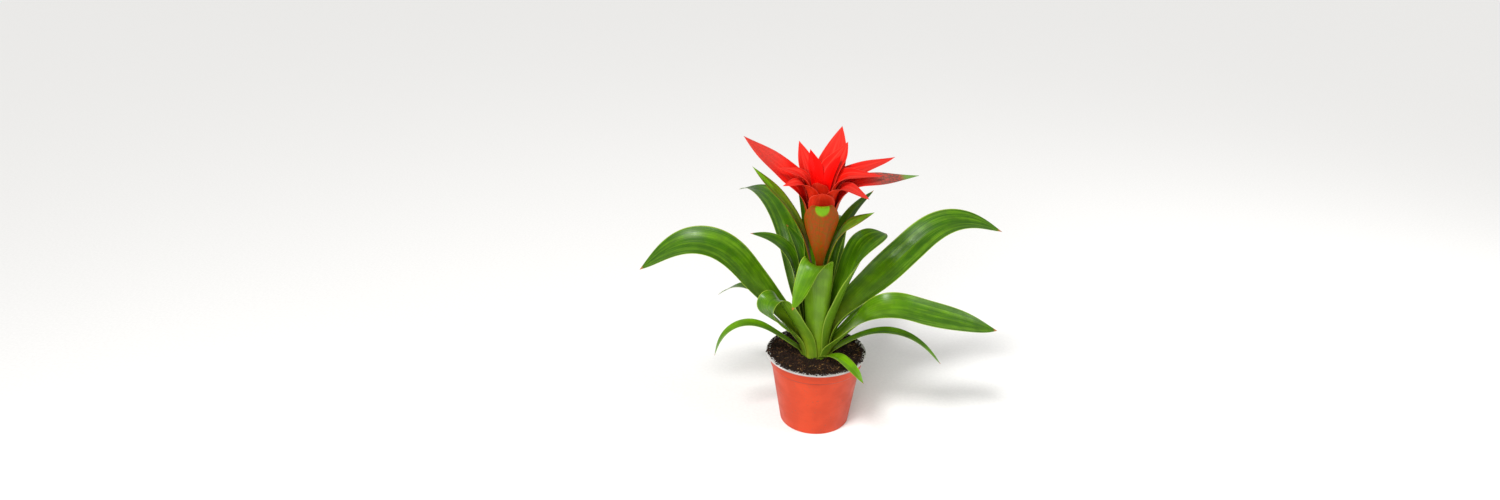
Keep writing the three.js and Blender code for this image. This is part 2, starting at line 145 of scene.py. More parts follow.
# Angles in degrees, azimuth 0 is +X. sheath: how far the foot reaches round the stalk. lean:
# slope from the vertical once the leaf has left the tube of bases, after "rise" mm. droop: slope
# at the tip, reached between the two fractions of bend. sway: how far the heading turns as it
# bends. roll: turn about the midrib. cup: radius of the channel.
LEAF_FIELDS = ("tier", "azimuth", "length", "width", "sheath", "rise", "lean", "droop", "bend",
               "sway", "roll", "cup")
LEAF_TURNS = (0.1, 0.6)   # a leaf rolls about its midrib between these fractions
LATE_TURNS = {"leaf_right_upright": (0.4, 0.8)}
LEAVES = {
    "leaf_front_droop": (0, -66, 84, 17, 46, 12, 60, 134, (0.2, 1), 26, 0, 16),
    "leaf_left_thin": (0, 186, 144, 15, 46, 14, 52, 166, (0.3, 1), -3, -10, 14),
    "leaf_right_thin": (0, -14, 156, 14, 52, 14, 52, 140, (0.15, 1), 2, 8, 14),
    "leaf_right_back_thin": (0, 34, 158, 14, 38, 14, 57, 142, (0.3, 1), -12, 8, 14),
    "leaf_back_low": (0, 86, 180, 24, 49, 14, 54, 128, (0.3, 1), 8, 0, 20),
    "leaf_back_left_low": (0, 136, 170, 22, 49, 14, 56, 130, (0.3, 1), 6, 0, 20),
    "leaf_right_low": (1, -22, 239, 44, 116, 22, 38, 106, (0.24, 0.56), 27, 24, 40),
    "leaf_left_wide": (1, 171, 274, 49, 107, 30, 38, 129, (0.43, 0.94), 5, -28, 40),
    "leaf_back_right_wide": (1, 78, 250, 42, 75, 24, 42, 120, (0.4, 1), -10, 6, 32),
    "leaf_left_folded": (2, 214, 184, 34, 109, 44, 31, 222, (0.5, 0.7), 0, 0, 28),
    "leaf_right_wide": (2, 22, 289, 48, 112, 60, 51, 112, (0.58, 1), -31, 22, 40),
    "leaf_back_wide": (2, 120, 270, 41, 78, 50, 26, 112, (0.45, 1), 4, 0, 30),
    "leaf_right_upright": (3, 2, 186, 50, 141, 70, 18, 110, (0.7, 1), 50, 16, 34),
    "leaf_left_curled": (3, 163, 182, 31, 104, 40, 9, 86, (0.55, 1), 6, -10, 24),
    "leaf_front_folded": (4, -98, 190, 40, 130, 60, 5, 142, (0.62, 0.76), -40, 0, 22),
    "leaf_back_right_upright": (6, 40, 224, 21, 81, 60, 7, 74, (0.45, 1), 6, 0, 16),
    "leaf_back_left_pointed": (4, 136, 164, 25, 73, 50, 6, 50, (0.6, 1), 0, -10, 15),
    "leaf_tall": (6, 126, 226, 18, 81, 90, 5, 24, (0.5, 1), 0, -10, 16),
}

# Bracts in rings up the stalk. foot: height of ring 0 above the rim; step: height from ring to
# ring. A bract's channel follows the funnel of bracts until its radius reaches "flat". taper:
# where a blade starts to narrow, and how late the narrowing comes.
BRACT_FIELDS = ("ring", "azimuth", "length", "width", "lean", "droop", "bend", "sway", "roll")
SCAPE = {"foot": 96, "step": 12, "sheath": 8.4, "rise": 2, "flat": 26, "taper": (0.5, 3)}
PETAL = {"foot": 126, "step": 7, "sheath": 8.4, "rise": 2, "flat": 40, "taper": (0.56, 1.8)}
HEART = {"foot": 126, "step": 7, "sheath": 7.4, "rise": 2, "flat": 20, "taper": (0.52, 2)}
LEAF_TAPER = (0.35, 4.2)
FUNNEL_EASE = 1.06        # a bract's channel radius over its distance from the stalk's axis
TIP_WIDTH = 0.35
RIPPLE = 0.03             # height of a margin's ripple over the blade's width
RIPPLE_BEATS = (1.6, 2.6)
RIPPLE_POWER = 2.5        # how close to the margin it keeps
CREASE_DEPTH = 0.5
CREASE_REACH = 0.07       # over half the blade's width
RELIEF_GROWS = (0.2, 0.55)  # ripple and crease set in between these fractions
MARGIN_THINS = 0.72
TIP_WALL = 0.45           # over the wall at the foot; it thins along the outer half
WALK_STEPS = 6            # steps along the midrib from station to station
EVEN_SHARE = 0.6          # the rest of the points' spacing crowds them at the margins
SCAPE_BRACTS = {
    "scape_bract_left": (0, 170, 152, 20, 15, 44, (0.22, 0.8), 0, -16),
    "scape_bract_right": (0, -8, 104, 22, 15, 60, (0.3, 0.9), 0, 16),
    "scape_bract_front": (1, -92, 96, 49, 14.3, 92, (0.84, 1), 4, 0),
    "scape_bract_back": (1, 76, 120, 34, 14.3, 40, (0.5, 1), 0, 0),
}
PETALS = {
    "petal_long_left": (0, 156, 166, 34, 13.6, 55, (0.36, 0.6), 0, -22),
    "petal_long_right": (0, 3, 163, 32, 13.6, 84, (0.35, 0.66), 0, 12),
    "petal_front_lip": (1, -94, 84, 40, 13.0, 54, (0.62, 1), 0, 0),
    "petal_back": (1, 71, 158, 36, 13.0, 55, (0.36, 0.56), 0, 0),
    "petal_front_right": (2, -38, 109, 32, 12.6, 106, (0.5, 0.84), 0, 4),
    "petal_back_left": (2, 121, 118, 32, 12.6, 35, (0.46, 0.76), 0, 0),
    "petal_front_left": (3, 208, 96, 30, 12.2, 94, (0.52, 0.91), 0, -8),
    "petal_right_back": (3, 28, 146, 27, 12.2, 81, (0.34, 0.58), 0, 10),
    "petal_right": (4, 1, 111, 30, 11.8, 93, (0.42, 0.76), 0, 8),
    "petal_left": (4, 171, 96, 27, 11.8, 80, (0.49, 0.89), 0, -8),
    "petal_back_right": (5, 54, 105, 30, 11.4, 56, (0.41, 0.72), 0, 0),
    "petal_front": (5, -106, 64, 30, 11.4, 58, (0.6, 1), 0, 0),
}
HEART_BRACTS = {
    "heart_bract_left": (6, 117, 79, 24, 10.6, 29, (0.45, 0.89), 0, 0),
    "heart_bract_front": (6, -79, 50, 20, 10.6, 33, (0.72, 1.0), 0, 0),
    "heart_bract_right": (7, 38, 68, 23, 9.8, 41, (0.47, 0.88), 0, 0),
    "heart_bract_side": (7, 242, 49, 18, 9.8, 19, (0.65, 1.0), 0, 0),
}

# Leaf: 0 is old and dark, 1 young and pale. Bract: how far the tip has gone back to green.
# Stalk bract: how brown it is.
TONES = {
    "leaf_front_droop": 0.95, "leaf_left_thin": 0.75, "leaf_right_thin": 0.7,
    "leaf_right_back_thin": 0.6, "leaf_back_low": 0.5, "leaf_back_left_low": 0.5,
    "leaf_right_low": 0.45, "leaf_left_wide": 0.4, "leaf_back_right_wide": 0.3,
    "leaf_left_folded": 0.5, "leaf_right_wide": 0.35, "leaf_back_wide": 0.3,
    "leaf_right_upright": 0.45, "leaf_left_curled": 0.45, "leaf_front_folded": 0.7,
    "leaf_back_right_upright": 0.5, "leaf_back_left_pointed": 0.4, "leaf_tall": 0.5,
    "scape_bract_left": 0.35, "scape_bract_right": 0.25, "scape_bract_front": 1.0,
    "scape_bract_back": 0.7, "petal_long_left": 0.4, "petal_long_right": 1.0,
    "petal_back": 0.12, "petal_right_back": 0.12, "petal_front_right": 0.2,
}


def leaf_named(name):
    """One leaf's sizes by name. Its channel opens as it leaves the tube of leaf bases, and its
    sheath is the arc that its foot takes of the tube."""
    leaf = dict(zip(LEAF_FIELDS, LEAVES[name]))
    leaf["opens"] = (0.4 * leaf["rise"], 2.5 * leaf["rise"])
    leaf["sheath"] = math.radians(leaf["sheath"]) * tier_radius(leaf["tier"])
    leaf["turns"] = LATE_TURNS.get(name, LEAF_TURNS)
    leaf["taper"] = LEAF_TAPER
    leaf["tone"] = TONES.get(name, 0.0)
    return leaf


def bract_named(table, kind, name):
    """One bract's sizes by name, with what its kind shares. It rolls only as it bends."""
    bract = {**kind, **dict(zip(BRACT_FIELDS, table[name]))}
    bract["turns"] = bract["bend"]
    bract["tone"] = TONES.get(name, 0.0)
    return bract


# ---- arithmetic -----------------------------------------------------------------------------


def linear(hex_colour):
    """An sRGB colour written #rrggbb as linear red, green, blue and an alpha of 1."""
    share = np.array([int(hex_colour[i:i + 2], 16) for i in (1, 3, 5)]) / 255
    value = np.where(share <= 0.04045, share / 12.92, ((share + 0.055) / 1.055) ** 2.4)
    return (*value.tolist(), 1.0)


def mix(low, high, share):
    """low where share is 0 and high where it is 1."""
    return low + (high - low) * share


def smooth(x, low, high):
    """0 below low, 1 above high and the cubic 3t^2 - 2t^3 between them."""
    t = np.clip((x - low) / (high - low), 0, 1)
    return t * t * (3 - 2 * t)


def lattice_noise(points, size, seed):
    """Value noise from -1 to 1: a fixed random number at each corner of a lattice of that
    size, blended inside each cell by the cubic 3t^2 - 2t^3 along each axis."""
    place = np.asarray(points, float) / size
    cell = np.floor(place).astype(np.int64)
    share = place - cell
    share = share * share * (3 - 2 * share)
    total = np.zeros(len(place))
    for corner in np.ndindex(2, 2, 2):
        at = (cell + corner) * (73856093, 19349663, 83492791)
        bits = (at[:, 0] ^ at[:, 1] ^ at[:, 2] ^ (seed * 374761393)) & 0xFFFFFFFF
        bits = ((bits ^ (bits >> 13)) * 1274126177) & 0xFFFFFFFF
        bits = ((bits ^ (bits >> 16)) * 2246822519) & 0xFFFFFFFF
        weight = np.prod(np.where(corner, share, 1 - share), axis=1)
        total += weight * (bits / 0x7FFFFFFF - 1)
    return total


def grid_faces(rows, columns, wrap=False):
    """Quads between neighbouring points of a grid stored row by row; wrap joins the ends."""
    here = np.arange(columns if wrap else columns - 1)
    base = np.arange(rows - 1)[:, None] * columns
    a, b = base + here, base + (here + 1) % columns
    return np.stack([a, b, b + columns, a + columns], axis=-1).reshape(-1, 4)


def copied(faces, count, size):
    """Faces of many copies of a shape, each copy with size points of its own."""
    offset = np.arange(count)[:, None, None] * size
    return (faces[None] + offset).reshape(-1, faces.shape[1])


def rounded(corners, radius, points=4):
    """A profile whose corners are turned to arcs: each corner becomes a quadratic curve that
    starts and ends one radius away, with a support point past each end."""
    corners = np.array(corners, float)
    line = [corners[0]]
    for before, at, after in zip(corners[:-2], corners[1:-1], corners[2:]):
        back, on = before - at, after - at
        room = 0.3 * min(np.linalg.norm(back), np.linalg.norm(on))
        cut = min(radius, room)
        start = at + back / np.linalg.norm(back) * cut
        end = at + on / np.linalg.norm(on) * cut
        t = np.linspace(0, 1, points)[:, None]
        line.append(at + (start - at) * 1.5)
        line.extend((1 - t) ** 2 * start + 2 * t * (1 - t) * at + t * t * end)
        line.append(at + (end - at) * 1.5)
    line.append(corners[-1])
    return np.array(line)


def polar(radius, angle, height):
    """Points at a radius from Z, an angle round it and a height."""
    places = radius * np.cos(angle), radius * np.sin(angle), height
    return np.stack(np.broadcast_arrays(*places), axis=-1)


def turned(profile, sides):
    """Points of a profile of (radius, height) carried round Z, one row for each of its points."""
    radius, height = np.asarray(profile, float).T[:, :, None]
    return polar(radius, np.arange(sides) * 2 * math.pi / sides, height)


# ---- meshes ---------------------------------------------------------------------------------


def make_piece(name, points, faces, material, uv=None, marks=None, merge=False):
    """A smooth mesh object at the origin from millimetre points. uv is one place per point and
    marks are named numbers per point, which the material reads. merge joins equal points."""
    mesh = bpy.data.meshes.new(name)
    points = np.asarray(points, float).reshape(-1, 3) * MM
    mesh.from_pydata(points.tolist(), [], [list(face) for face in np.asarray(faces).tolist()])
    for key, values in (marks or {}).items():
        layer = mesh.attributes.new(key, "FLOAT", "POINT")
        layer.data.foreach_set("value", np.ascontiguousarray(values, np.float32).ravel())
    if uv is not None:
        loops = np.empty(len(mesh.loops), np.int32)
        mesh.loops.foreach_get("vertex_index", loops)
        layer = mesh.uv_layers.new(name="blade")
        layer.data.foreach_set("uv", (np.asarray(uv)[loops] * MM).astype(np.float32).ravel())
    if merge:
        work = bmesh.new()
        work.from_mesh(mesh)
        bmesh.ops.remove_doubles(work, verts=work.verts, dist=1e-6)
        bmesh.ops.recalc_face_normals(work, faces=work.faces)
        work.to_mesh(mesh)
        work.free()
    mesh.polygons.foreach_set("use_smooth", np.ones(len(mesh.polygons), bool))
    mesh.update()
    mesh.materials.append(material)
    piece = bpy.data.objects.new(name, mesh)
    bpy.context.scene.collection.objects.link(piece)
    return piece


def place_piece(piece, slot, *nodes):
    """The piece rides on the plant's one body and stands for its nodes; slot is not used."""
    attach(piece, BODY)
    if nodes:
        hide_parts(*nodes)
    return piece


def scattered(shape, faces, centres, turns, sizes):
    """Many copies of a small shape: each is stretched by its size, turned by its own matrix and
    moved to its centre. shape holds the points of each copy, one set or one per copy."""
    shapes = np.broadcast_to(shape, (len(centres), *shape.shape[-2:]))
    points = np.einsum("nij,nkj->nki", turns, shapes * sizes[:, None, :]) + centres[:, None, :]
    return points.reshape(-1, 3), copied(faces, *shapes.shape[:2])


def tumbled(dice, count, tilt):
    """Rotation matrices: a turn about Z by any angle, then a tip of up to tilt degrees."""
    spin, tip, way = dice.uniform(0, 2 * math.pi, (3, count))
    tip = np.radians(tilt) * np.sqrt(tip / (2 * math.pi))
    zero, one = np.zeros(count), np.ones(count)

    def about_z(a):
        rows = [np.cos(a), -np.sin(a), zero, np.sin(a), np.cos(a), zero, zero, zero, one]
        return np.stack(rows, -1).reshape(-1, 3, 3)

    rows = [one, zero, zero, zero, np.cos(tip), -np.sin(tip), zero, np.sin(tip), np.cos(tip)]
    about_x = np.stack(rows, -1).reshape(-1, 3, 3)
    return about_z(way) @ about_x @ about_z(spin)


# ---- blades ---------------------------------------------------------------------------------


def blade_frame(blade, s):
    """Directions at the shares s of a blade's length: along the midrib, across the blade and
    out of its inner face. The slope from the vertical grows from 0 to lean over the first rise
    millimetres and on to droop between the fractions of bend; the heading turns by sway and the
    blade rolls about its midrib as it goes."""
    lean = blade["lean"] * smooth(s * blade["length"], 0, blade["rise"])
    bend = smooth(s, *blade["bend"])
    slope = np.radians(lean + (blade["droop"] - blade["lean"]) * bend)
    heading = math.radians(blade["sway"]) * bend
    flat = np.sin(slope)
    along = np.stack([flat * np.cos(heading), flat * np.sin(heading), np.cos(slope)], -1)
    side = np.stack([-np.sin(heading), np.cos(heading), np.zeros_like(heading)], -1)
    up = np.cross(along, side)
    roll = (math.radians(blade["roll"]) * smooth(s, *blade["turns"]))[:, None]
    turned_side = side * np.cos(roll) + up * np.sin(roll)
    turned_up = up * np.cos(roll) - side * np.sin(roll)
    return along, turned_side, turned_up


def blade_width(blade, s):
    """Sheath width at the foot, full width along the middle and a taper to a fine point."""
    body = mix(blade["sheath"], blade["width"], smooth(s * blade["length"], *SPREAD))
    start, power = blade["taper"]
    return np.maximum(body * (1 - (np.maximum(0, s - start) / (1 - start)) ** power), TIP_WIDTH)


def channel_radius(blade, s, foot_radius, from_axis):
    """Radius of the arc across a blade. A leaf's grows from the tube of bases to its cup; a
    bract's is its distance from the stalk's axis, until it is nearly flat."""
    if "cup" in blade:
        return mix(foot_radius, blade["cup"], smooth(s * blade["length"], *blade["opens"]))
    return np.minimum(FUNNEL_EASE * from_axis, blade["flat"])


def blade_surface(blade, foot_radius, foot_height, wall, stations, across, seed):
    """A blade's closed skin. Across, each station is an arc of the channel's radius, from one
    margin to the other and back along the inner face; the wall thins to the margins and to the
    tip. The margins ripple by a sine along the blade and the midrib is a shallow crease."""
    s = np.linspace(0, 1, stations + 1)
    walked = stations * WALK_STEPS
    steps = blade_frame(blade, (np.arange(walked) + 0.5) / walked)[0] * blade["length"] / walked
    walk = np.vstack([np.zeros(3), np.cumsum(steps, axis=0)])[::WALK_STEPS]
    walk += (foot_radius, 0, 0)
    _, side, up = blade_frame(blade, s)
    radius = channel_radius(blade, s, foot_radius, np.hypot(walk[:, 0], walk[:, 1]))
    width = blade_width(blade, s)

    even = np.linspace(-1, 1, across + 1)
    t = mix(np.sin(even * math.pi / 2), even, EVEN_SHARE)
    angle = t * (width / (2 * radius))[:, None]
    dice = np.random.default_rng(seed)
    beats, phase, second = dice.uniform(*RIPPLE_BEATS), *dice.uniform(0, 2 * math.pi, 2)
    grown = (smooth(s, *RELIEF_GROWS) * width / blade["width"])[:, None]
    edge = np.abs(t)
    swing = 2 * math.pi * beats * s[:, None] + np.where(t > 0, phase, second)
    ripple = RIPPLE * blade["width"] * grown * edge ** RIPPLE_POWER * np.sin(swing)
    crease = -CREASE_DEPTH * grown * np.exp(-(t / CREASE_REACH) ** 2)
    thinned = mix(1.0, TIP_WALL, smooth(s, 0.5, 1))[:, None]
    wall_here = wall * (1 - MARGIN_THINS * edge ** 4) * thinned

    def face(depth):
        reach = radius[:, None] - depth
        out = (reach * np.sin(angle))[..., None] * side[:, None]
        raised = radius[:, None] - reach * np.cos(angle) + ripple + crease
        return walk[:, None] + out + raised[..., None] * up[:, None]

    outer, inner = face(wall / 2 - wall_here / 2), face(wall / 2 + wall_here / 2)
    points = np.concatenate([outer, inner[:, ::-1]], axis=1)
    a = math.radians(blade["azimuth"])
    spin = np.array([[math.cos(a), -math.sin(a), 0], [math.sin(a), math.cos(a), 0], [0, 0, 1]])
    points = points @ spin.T + (0, 0, foot_height)

    ring = 2 * (across + 1)
    skin = grid_faces(stations + 1, ring, wrap=True)
    k = np.arange(across)
    mate = ring - 1 - k
    foot = np.stack([k, mate, mate - 1, k + 1], -1)
    tip = foot[:, ::-1] + stations * ring
    faces = np.concatenate([skin, foot, tip])

    along, place = np.broadcast_arrays(s[:, None], np.concatenate([t, t[::-1]]))
    uv = np.stack([place * blade["width"] / 2, along * blade["length"]], -1)
    marks = {
        "along": along,
        "edge": np.abs(place),
        "under": np.broadcast_to(np.arange(ring) <= across, place.shape),
        "tone": np.full(place.shape, blade["tone"]),
    }
    return points.reshape(-1, 3), faces, uv.reshape(-1, 2), marks


def tier_radius(tier):
    """Radius of the skin of the tube of leaf bases at a tier, from the innermost out."""
    outward = LEAF_TIERS - 1 - tier
    return STEM_RADIUS + CORE_TO_LEAF + LEAF_WALL + outward * (LEAF_WALL + TIER_GAP)


def stem_radius_at(height):
    """Radius of the stalk: stout among the leaves and slender under the flower."""
    return mix(STEM_RADIUS, STEM_TIP_RADIUS, smooth(height - RIM_TOP, *STEM_NARROWS))


# ---- materials ------------------------------------------------------------------------------

BLEND = {"data_type": "RGBA"}
EASE = {"interpolation_type": "SMOOTHSTEP"}


def add(tree, kind, settings=None, sockets=(), out=0):
    """Adds a node of a kind, sets its own properties, then sets or links its sockets, given in
    their order or by name or number, and returns one of its outputs. A property named stops
    fills a colour ramp. Colours are picked ones or written #rrggbb."""
    node = tree.nodes.new("ShaderNode" + kind)
    for name, value in (settings or {}).items():
        if name == "stops":
            ramp = node.color_ramp
            while len(ramp.elements) < len(value):
                ramp.elements.new(0.5)
            for element, (place, colour) in zip(ramp.elements, value):
                element.position = place
                element.color = linear(colour) if isinstance(colour, str) else colour
        else:
            setattr(node, name, value)
    for name, value in sockets.items() if isinstance(sockets, dict) else enumerate(sockets):
        if isinstance(value, bpy.types.NodeSocket):
            tree.links.new(value, node.inputs[name])
        else:
            value = linear(value) if isinstance(value, str) else value
            node.inputs[name].default_value = value
    return node.outputs[out]


def start_material(name, constants):
    """A material with one Principled shader whose constant sockets are set, with its nodes and
    the object's own space."""
    material = bpy.data.materials.new(name)
    material.use_nodes = True
    tree = material.node_tree
    for socket, value in constants.items():
        tree.nodes["Principled BSDF"].inputs[socket].default_value = value
    return material, tree, add(tree, "TexCoord", out=3)


def grains(tree, space, sizes, detail, roughness=0.5):
    """Noise with grains of that many millimetres, one size or one for each axis."""
    scale = [1 / (size * MM) for size in np.broadcast_to(sizes, 3)]
    place = add(tree, "Mapping", None, {"Vector": space, "Scale": scale})
    sockets = {"Vector": place, "Scale": 1.0, "Detail": detail, "Roughness": roughness}
    return add(tree, "TexNoise", None, sockets)


def combined(tree, way, parts):
    """Patterns multiplied, added up or subtracted. A part is a pattern or number, or a pattern
    eased between two of its values, with what it gives at each (0 and 1 if left out)."""
    total, *others = [
        add(tree, "MapRange", EASE, part) if isinstance(part, tuple) else part for part in parts
    ]
    for other in others:
        total = add(tree, "Math", {"operation": way}, (total, other))
    return total


def layered(tree, colour, *layers):
    """Lays colours over a first one in turn. A layer is its colour and the parts whose product
    is its share."""
    for cover, *parts in layers:
        share = combined(tree, "MULTIPLY", parts)
        colour = add(tree, "Mix", BLEND, {0: share, 6: colour, 7: cover}, 2)
    return colour


def dress(tree, colour, rough, height, depth, strength=0.6):
    """Gives the shader its colour, its roughness as the sum of some parts, and a bump of a
    pattern that stands depth millimetres proud."""
    bump = {"Strength": strength, "Distance": depth * MM, "Height": height}
    looks = {
        "Base Color": colour,
        "Roughness": combined(tree, "ADD", rough),
        "Normal": add(tree, "Bump", None, bump),
    }
    for socket, value in looks.items():
        tree.links.new(value, tree.nodes["Principled BSDF"].inputs[socket])


def mark(tree, name):
    """The numbers that a piece's points carry under a name."""
    return add(tree, "Attribute", {"attribute_name": name}, out=2)


def blade_patterns(tree, space, vein_gap, vein_length):
    """What every blade's finish shares: fine veins and broad bands along the blade, a mottle in
    the object's own space, and the marks stored on its points. Sizes in millimetres."""
    uv = add(tree, "UVMap", {"uv_map": "blade"})
    return SimpleNamespace(
        veins=grains(tree, uv, (vein_gap, vein_length, vein_gap), 1.0),
        bands=grains(tree, uv, (5.5, 110.0, 5.5), 2.0),
        mottle=grains(tree, space, 14.0, 3.0),
        **{name: mark(tree, name) for name in ("along", "edge", "under", "tone")},
    )


def waxy_leaf(colours):
    """Living bromeliad leaf, grown, under a thick waxy skin. To the eye: a satin gloss that
    breaks along parallel veins, pale sheaths, a fine light line at the margins, a dull grey
    green underside and a dry brown point. Painted shade darkens the margins toward the foot,
    where the leaf bases overlap."""
    constants = {"IOR": 1.4, "Specular IOR Level": 0.38}
    material, tree, space = start_material("waxy_leaf", constants)
    look = blade_patterns(tree, space, 0.9, 60.0)
    stops = ((0.0, "#9ca428"), (0.12, "#7c920e"), (0.3, "#56820a"), (0.55, colours.leaf),
             (0.96, "#285204"))
    colour = layered(
        tree, add(tree, "ValToRGB", {"stops": stops}, (look.along,)),
        # Darker toward the margins, most near the foot: painted shade between the overlapping leaf
        # bases.
        ("#2c5c04", (look.edge, 0.3, 0.95, 0, 0.85), (look.along, 0.15, 0.55, 1, 0.25)),
        ("#70a60a", (look.tone, 0.3, 1, 0, 0.7)),
        ("#669410", (look.bands, 0.44, 0.66, 0, 0.6)),
        ("#86aa28", (look.veins, 0.5, 0.68, 0, 0.28)),
        ("#1c3e02", (look.mottle, 0.35, 0.65, 0, 0.35)),
        ("#a8be3e", (look.edge, 0.94, 0.99, 0, 0.7)),
        ("#7f9c34", (look.under, 0, 1, 0, 0.26)),
        ("#a8662c", (look.along, 0.976, 0.992)),
    )
    rough = (look.mottle, 0.3, 0.7, 0.2, 0.32), (look.veins, 0.2, 0.8, 0, 0.1)
    dress(tree, colour, rough, look.veins, 0.1)
    return material


def red_bract(colours):
    """Flower bract, grown and full of red pigment under a thin wax. To the eye: satin red that
    goes orange toward its sheath and pinker toward the tip, with fine veins, and on the long
    outer bracts a tip that has gone back to green."""
    constants = {"IOR": 1.4, "Specular IOR Level": 0.14}
    material, tree, space = start_material("red_bract", constants)
    look = blade_patterns(tree, space, 1.1, 45.0)
    stops = ((0.0, "#7a3c0c"), (0.2, "#a03a08"), (0.38, "#cc0e02"), (0.6, colours.bract),
             (1.0, "#d8281e"))
    rust = layered(tree, "#963c06", ("#7c5208", (look.bands, 0.35, 0.65)))
    specks = grains(tree, space, 2.4, 4.0)
    faded = layered(tree, "#6a4a40", ("#a8483e", (specks, 0.42, 0.6)))
    colour = layered(
        tree, add(tree, "ValToRGB", {"stops": stops}, (look.along,)),
        ("#ec4636", (look.bands, 0.44, 0.66, 0, 0.55)),
        ("#a60a04", (look.veins, 0.5, 0.7, 0, 0.3)),
        ("#c8330c", (look.under, 0, 1, 0, 0.45)),
        (rust, look.under, (look.along, 0.3, 0.55, 0.85, 0)),
        ("#f06450", (look.edge, 0.9, 1, 0, 0.35)),
        (faded, (look.along, 0.6, 0.78), look.tone),
        ("#688c40", (look.along, 0.86, 0.92), (look.tone, 0.6, 0.9)),
    )
    rough = (look.mottle, 0.3, 0.7, 0.36, 0.46), (look.veins, 0.2, 0.8, 0, 0.1)
    dress(tree, colour, rough, look.veins, 0.1)
    return material


def heart_bract(colours):
    """Youngest bracts at the flower's centre, grown and still growing. To the eye: the purest
    red of the plant, hardly veined, with a soft satin skin."""
    constants = {"IOR": 1.4, "Specular IOR Level": 0.1}
    material, tree, space = start_material("heart_bract", constants)
    look = blade_patterns(tree, space, 1.0, 40.0)
    stops = (0.0, "#c03a10"), (0.3, colours.heart), (1.0, "#e60c05")
    colour = layered(
        tree, add(tree, "ValToRGB", {"stops": stops}, (look.along,)),
        ("#ee180c", (look.veins, 0.45, 0.7, 0, 0.25)),
    )
    dress(tree, colour, [(look.mottle, 0.3, 0.7, 0.42, 0.52)], look.veins, 0.08)
    return material


def scape_bract(colours):
    """Stalk bracts, grown, between leaf and flower. To the eye: rust brown over olive green,
    speckled in small blotches, with a green tip."""
    constants = {"IOR": 1.4, "Specular IOR Level": 0.2}
    material, tree, space = start_material("scape_bract", constants)
    look = blade_patterns(tree, space, 1.0, 35.0)
    blotch = grains(tree, space, 3.5, 4.0)
    green = layered(tree, "#4a7408", ("#7c9c1e", (look.bands, 0.35, 0.7)))
    brown = layered(tree, "#963c05", ("#7a4806", (blotch, 0.38, 0.62)))
    reach = combined(tree, "MULTIPLY", (look.tone, 1.6))
    ahead = combined(tree, "SUBTRACT", (reach, look.along))
    lag = combined(tree, "MULTIPLY", (look.edge, look.edge, 0.3))
    crescent = combined(tree, "SUBTRACT", (look.along, lag))
    colour = layered(
        tree, green,
        (brown, (ahead, 0, 0.5)),
        ("#8c5608", (blotch, 0.54, 0.7, 0, 0.3)),
        ("#5c3a0e", (look.veins, 0.5, 0.7, 0, 0.35)),
        ("#b04410", (look.edge, 0.86, 1, 0, 0.5)),
        (colours.scape_tip, (crescent, 0.76, 0.8, 0, 0.95)),
    )
    dress(tree, colour, [(look.mottle, 0.3, 0.7, 0.38, 0.5)], look.veins, 0.12)
    return material


def fleshy_stem():
    """Flower stalk, grown, round and fleshy. To the eye: olive skin with long pale fibres and
    brown flecks."""
    material, tree, space = start_material("fleshy_stem", {"IOR": 1.45})
    fibres = grains(tree, space, (1.2, 1.2, 30.0), 2.0)
    flecks = grains(tree, space, 2.0, 3.0)
    colour = layered(
        tree, "#6c8326",
        ("#a3ad4e", (fibres, 0.35, 0.65)),
        ("#8a4a16", (flecks, 0.58, 0.66, 0, 0.7)),
    )
    dress(tree, colour, [(fibres, 0.3, 0.7, 0.42, 0.56)], fibres, 0.12)
    return material


def two_tone_polypropylene(colours):
    """Thermoformed polypropylene sheet, terracotta outside and pale grey inside. To the eye:
    satin, faintly streaked around by the forming, with dusty grey scuffs and the grey inner
    skin showing at the lip. The dark line under the collar's step is painted shade with some
    dirt."""
    constants = {"IOR": 1.49, "Specular IOR Level": 0.35}
    material, tree, space = start_material("two_tone_polypropylene", constants)
    lines = grains(tree, space, (45.0, 45.0, 1.6), 2.0)
    cloud = grains(tree, space, 22.0, 3.0)
    dust = grains(tree, space, 2.2, 5.0)
    grey = layered(tree, "#c2bebc", ("#9c9896", (cloud, 0.35, 0.65)))
    height = add(tree, "SeparateXYZ", None, (space,), 2)
    start, full, still, end = (COLLAR_BOTTOM * MM + place * MM for place in STEP_SHADE_AND_GRIME)
    colour = layered(
        tree, colours.pot,
        ("#b0320a", (cloud, 0.35, 0.65, 0, 0.6)),
        ("#d04c24", (lines, 0.5, 0.7, 0, 0.12)),
        # Dark line under the collar's step: painted shade under the step, with some dirt.
        ("#5c1a06", (height, start, full, 0, 0.75), (height, still, end, 1, 0)),
        (grey, mark(tree, "inner")),
        ("#6a4634", (dust, 0.62, 0.72, 0, 0.55)),
    )
    dress(tree, colour, [(cloud, 0.3, 0.7, 0.34, 0.5)], lines, 0.06, 0.5)
    return material


def moist_peat(colours):
    """Peat potting mix, milled and moist. To the eye: nearly black brown, matt, crumbly at a
    millimetre or two, with lighter dry grains. Painted shade darkens the hollows of the crumbs'
    bump."""
    constants = {"IOR": 1.4, "Specular IOR Level": 0.3}
    material, tree, space = start_material("moist_peat", constants)
    crumb = grains(tree, space, 1.3, 6.0, 0.7)
    patch = grains(tree, space, 9.0, 2.0)
    colour = layered(
        tree, colours.peat,
        ("#211108", (patch, 0.35, 0.65)),
        ("#3c2412", (crumb, 0.52, 0.7)),
        # Darkest where the crumb bump is lowest: painted shade in the hollows between crumbs.
        ("#0e0805", (crumb, 0.28, 0.42, 0.8, 0)),
    )
    dress(tree, colour, [(crumb, 0.3, 0.7, 0.75, 0.95)], crumb, 0.7, 0.9)
    return material


